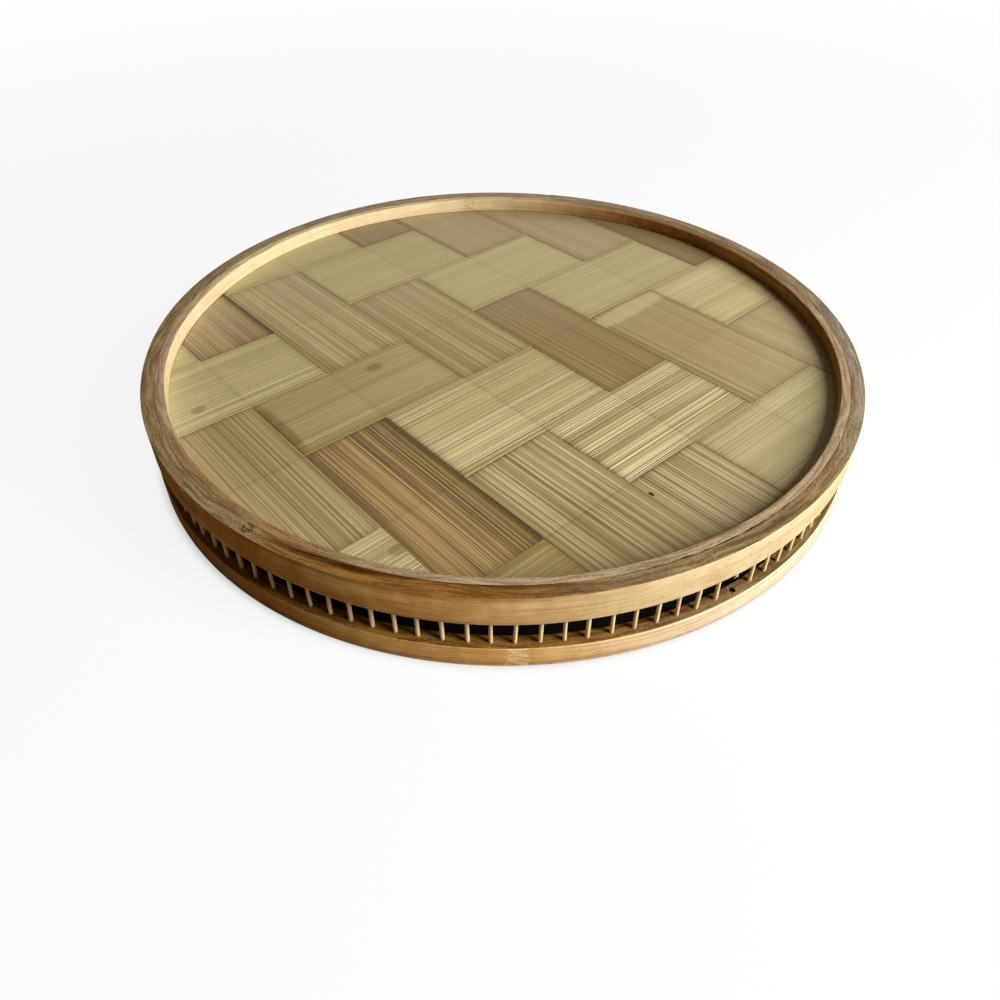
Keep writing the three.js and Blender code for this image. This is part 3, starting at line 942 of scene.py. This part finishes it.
WARP_LOOKS = [KHAKI, TOASTED, STREAKED, GREYISH, BROWNISH, BEIGE, BEIGE, BROWNISH]
WEFT_LOOKS = [OLIVE, GILDED, GOLDEN, OLIVE, OLIVE, OLIVE, OLIVE]
print("looks for", len(WARP_LOOKS), "warp and", len(WEFT_LOOKS), "weft strips")

# %% Stains and flecks
MARKS = {
    "warp_2": {"stain": (-40, -90, "#54330e", 0.2), "scorched": 1},
    "warp_3": {"stain": (-75, -105, "#6e5a30", 0.25)},
    "warp_4": {"flecks": [(-105.5, 17.2, 1.7, 1.0, 0.95, "#1c1206")]},
    "warp_6": {"flecks": [(-17, 1, 6.5, 40, 0.4, "#dfd0a0")]},
    "warp_7": {"stain": (10, -50, "#d0c69c", 0.2)},
    "warp_8": {"stain": (200, 150, "#6a5018", 0.38)},
    "weft_1": {"stain": (20, -25, "#7a5a1c", 0.5)},
    "weft_2": {"stain": (-60, -90, "#b8ae78", 0.5), "flecks": [(-109, 7.9, 4.5, 3.0, 0.45, "#6b5526")]},
    "weft_4": {"stain": (0, -95, "#7d6226", 0.4), "flecks": [
        # The long fleck where weft_4 dips under warp_1 darkens the dip: painted shade with some dirt.
        (-52, 11.2, 5.0, 3.5, 0.5, "#6b5526"), (-103.5, 0, 3.5, 24, 0.45, "#4e3c10"),
    ]},
    "weft_5": {"stain": (-105, -138, "#dccfa4", 0.35), "flecks": [(-122, -10, 4.0, 3.0, 0.45, "#6b5526")]},
}
print(len(MARKS), "strips are marked")

# %% [markdown]
# ## Weaving the floor
# The floor is a twill: every strip goes over two and under two, one step further on from row to row. The
# strips were split by hand, so no two are equally wide, and their edges lean. Each edge is written as
# where it lies across the weave, in millimetres, and how far it leans.

# %% The edges of the strips
WARP_LINES = [
    (-145 * mm, 0.0), (-105.3 * mm, -0.012), (-68.7 * mm, -0.029), (-28.2 * mm, -0.05), (10.2 * mm, -0.035),
    (45.4 * mm, -0.055), (87 * mm, -0.07), (124.2 * mm, -0.07), (158 * mm, -0.07),
]
WEFT_LINES = [
    (-140 * mm, 0.022), (-96.8 * mm, 0.022), (-54.3 * mm, 0.04), (-7.4 * mm, 0.018), (32.6 * mm, 0.014),
    (75 * mm, 0.015), (118.5 * mm, 0.005), (160 * mm, 0.0),
]


def weft_on_top(warp, weft):
    return (warp + weft) % 4 < 2


def crossings(own, lines):
    """Where the middle of a strip meets the edges of the strips that it crosses, and their lean."""
    offset = (own[0][0] + own[1][0]) / 2
    lean = (own[0][1] + own[1][1]) / 2
    return [((edge + slope * offset) / (1 - slope * lean), slope) for edge, slope in lines]


print("the weave has", (len(WARP_LINES) - 1) * (len(WEFT_LINES) - 1), "crossings")

# %% [markdown]
# ## The run of a strip
# A strip starts as a flat grid. Its cross lines are moved to stations along it: evenly spread over the
# crossings, and close together where it dips from above one strip to below the next. Where it stays above
# two strips, a shallow crease shows the joint between them.

# %% Heights and stations along a strip
UPPER, LOWER = MAT_TOP, MAT_TOP - 0.6 * mm
DIP = 0.8 * mm
CREASE, CREASE_REACH = 0.08 * mm, 1.2 * mm
DENSE = (-4, -2.2, -1, -0.55, -0.3, 0, 0.3, 0.55, 1, 2.2, 4)
HALF_RUN, SPREAD = 146 * mm, 60


def face_height(place, crossed, on_top):
    """The height of a strip's face at a place along its middle."""
    heights = [UPPER if on_top(lane) else LOWER for lane in range(len(crossed) - 1)]
    height = heights[0]
    for lane in range(1, len(heights)):
        past = place - crossed[lane][0]
        share = min(1.0, max(0.0, (past + DIP) / (2 * DIP)))
        height += (heights[lane] - heights[lane - 1]) * share * share * (3 - 2 * share)
        if heights[lane] == heights[lane - 1]:
            height -= CREASE * max(0.0, 1 - abs(past) / CREASE_REACH)
    return height


def nearness(place, crossed, on_top):
    """1 at a dip, fading over a few millimetres, and less at a crease."""
    near_by = 0.0
    for lane in range(1, len(crossed) - 1):
        weight = 1.0 if on_top(lane) != on_top(lane - 1) else 0.1
        near_by = max(near_by, weight * math.exp(-abs(place - crossed[lane][0]) / (1.5 * mm)))
    return near_by


def lean_at(place, crossed):
    """The lean of a cross line, between those of the two nearest edges."""
    for (low, first), (high, second) in zip(crossed, crossed[1:]):
        if place <= high:
            return first + (second - first) * max(0.0, (place - low) / (high - low))
    return crossed[-1][1]


def stations(crossed):
    """Where a strip gets its cross lines, and the lean of each."""
    edges = [edge for edge, slope in crossed]
    spread = [HALF_RUN * (2 * i / SPREAD - 1) for i in range(SPREAD + 1)]
    clear = [s for s in spread if min(abs(s - edge) for edge in edges) > 3.6 * mm]
    dense = [edge + DIP * part for edge in edges[1:-1] for part in DENSE]
    return [(place, lean_at(place, crossed)) for place in sorted(clear + dense)]


print("a strip dips by", round((UPPER - LOWER) / mm, 2), "mm within", round(2 * DIP / mm, 2), "mm")

# %% [markdown]
# ## The strips
# Each strip's points are set between its two edges, and raised or lowered to pass over or under. A ring of
# cutting planes trims it to the round floor, and solidify gives it its thickness below its face. The layers
# for the finish are filled on the way. A seeded random number gives each crossing its tone of painted sheen.

# %% Weave one strip
STRIP_GAP = 0.2 * mm
STRIP_THICKNESS = 0.42 * mm
ACROSS = 14
TRIM_CUTS = 60


def trimmed(bm):
    for step in range(TRIM_CUTS):
        turn = 2 * math.pi * step / TRIM_CUTS
        side = Vector((math.cos(turn), math.sin(turn), 0))
        whole = bm.verts[:] + bm.edges[:] + bm.faces[:]
        bmesh.ops.bisect_plane(
            bm, geom=whole, plane_co=side * MAT_RADIUS, plane_no=side, clear_outer=True
        )


def woven_strip(own, lines, on_top, is_warp, seed):
    crossed = crossings(own, lines)
    places = stations(crossed)
    bm = bmesh.new()
    bmesh.ops.create_grid(bm, x_segments=len(places) - 1, y_segments=ACROSS, size=1)
    column = {x: i for i, x in enumerate(sorted({round(point.co.x, 6) for point in bm.verts}))}
    shares = bm.verts.layers.float.new("share")
    sunken = bm.verts.layers.float.new("sunk")
    dusky = bm.verts.layers.float.new("dusk")
    for point in bm.verts:
        place, lean = places[column[round(point.co.x, 6)]]
        share = point.co.y
        low, high = (edge + slope * place for edge, slope in own)
        half = (high - low - STRIP_GAP) / 2
        across = (low + high) / 2 + share * half
        along = place + lean * share * half
        height = face_height(place, crossed, on_top)
        point[shares] = share
        # How far the face has sunk and how near a dip or an edge it is, for painted shade with some dirt.
        point[sunken] = (UPPER - height) / (UPPER - LOWER)
        point[dusky] = max(nearness(place, crossed, on_top), 0.7 * share**20)
        height -= 0.12 * mm * share**6
        point.co = (across, along, height) if is_warp else (along, across, height)
    bmesh.ops.rotate(bm, verts=bm.verts, matrix=Matrix.Rotation(WEAVE_TURN, 3, "Z"))
    trimmed(bm)
    bmesh.ops.recalc_face_normals(bm, faces=bm.faces)
    if sum(face.normal.z for face in bm.faces) < 0:
        bmesh.ops.reverse_faces(bm, faces=bm.faces)
    bmesh.ops.solidify(bm, geom=bm.faces[:], thickness=STRIP_THICKNESS)
    sheen_chance = random.Random(seed)
    tones = [sheen_chance.uniform(0, 1) for line in lines]
    tilt_sheen = bm.faces.layers.float.new("tilt_sheen")
    for face in bm.faces:
        u, v, height = Matrix.Rotation(-WEAVE_TURN, 3, "Z") @ face.calc_center_median()
        along, across = (v, u) if is_warp else (u, v)
        face[tilt_sheen] = tones[sum(along > edge + slope * across for edge, slope in lines[1:-1])]
    return bm


print("strips are", STRIP_THICKNESS / mm, "mm thick")

# %% Weave the warp
SQUARE = math.radians(90)
for warp, look in enumerate(WARP_LOOKS):
    name = f"warp_{warp + 1}"
    own = WARP_LINES[warp : warp + 2]
    turn = WEAVE_TURN + SQUARE - math.atan((own[0][1] + own[1][1]) / 2)
    middle = -(own[0][0] + own[1][0]) / 2
    finish = strip_finish(f"{name}_bamboo", turn, middle, look, 10.0 * warp, **MARKS.get(name, {}))
    strip_bm = woven_strip(own, WEFT_LINES, lambda weft: not weft_on_top(warp, weft), True, 1 + warp)
    set_down(strip_bm, name, [finish], [f"warp_strip_{warp + 1}"], sharp=40)

# %% Weave the weft
for weft, look in enumerate(WEFT_LOOKS):
    name = f"weft_{weft + 1}"
    own = WEFT_LINES[weft : weft + 2]
    turn = WEAVE_TURN + math.atan((own[0][1] + own[1][1]) / 2)
    middle = (own[0][0] + own[1][0]) / 2
    finish = strip_finish(f"{name}_bamboo", turn, middle, look, 200 + 10.0 * weft, **MARKS.get(name, {}))
    strip_bm = woven_strip(own, WARP_LINES, lambda warp: weft_on_top(warp, weft), False, 21 + weft)
    set_down(strip_bm, name, [finish], [f"weft_strip_{weft + 1}"], sharp=40)
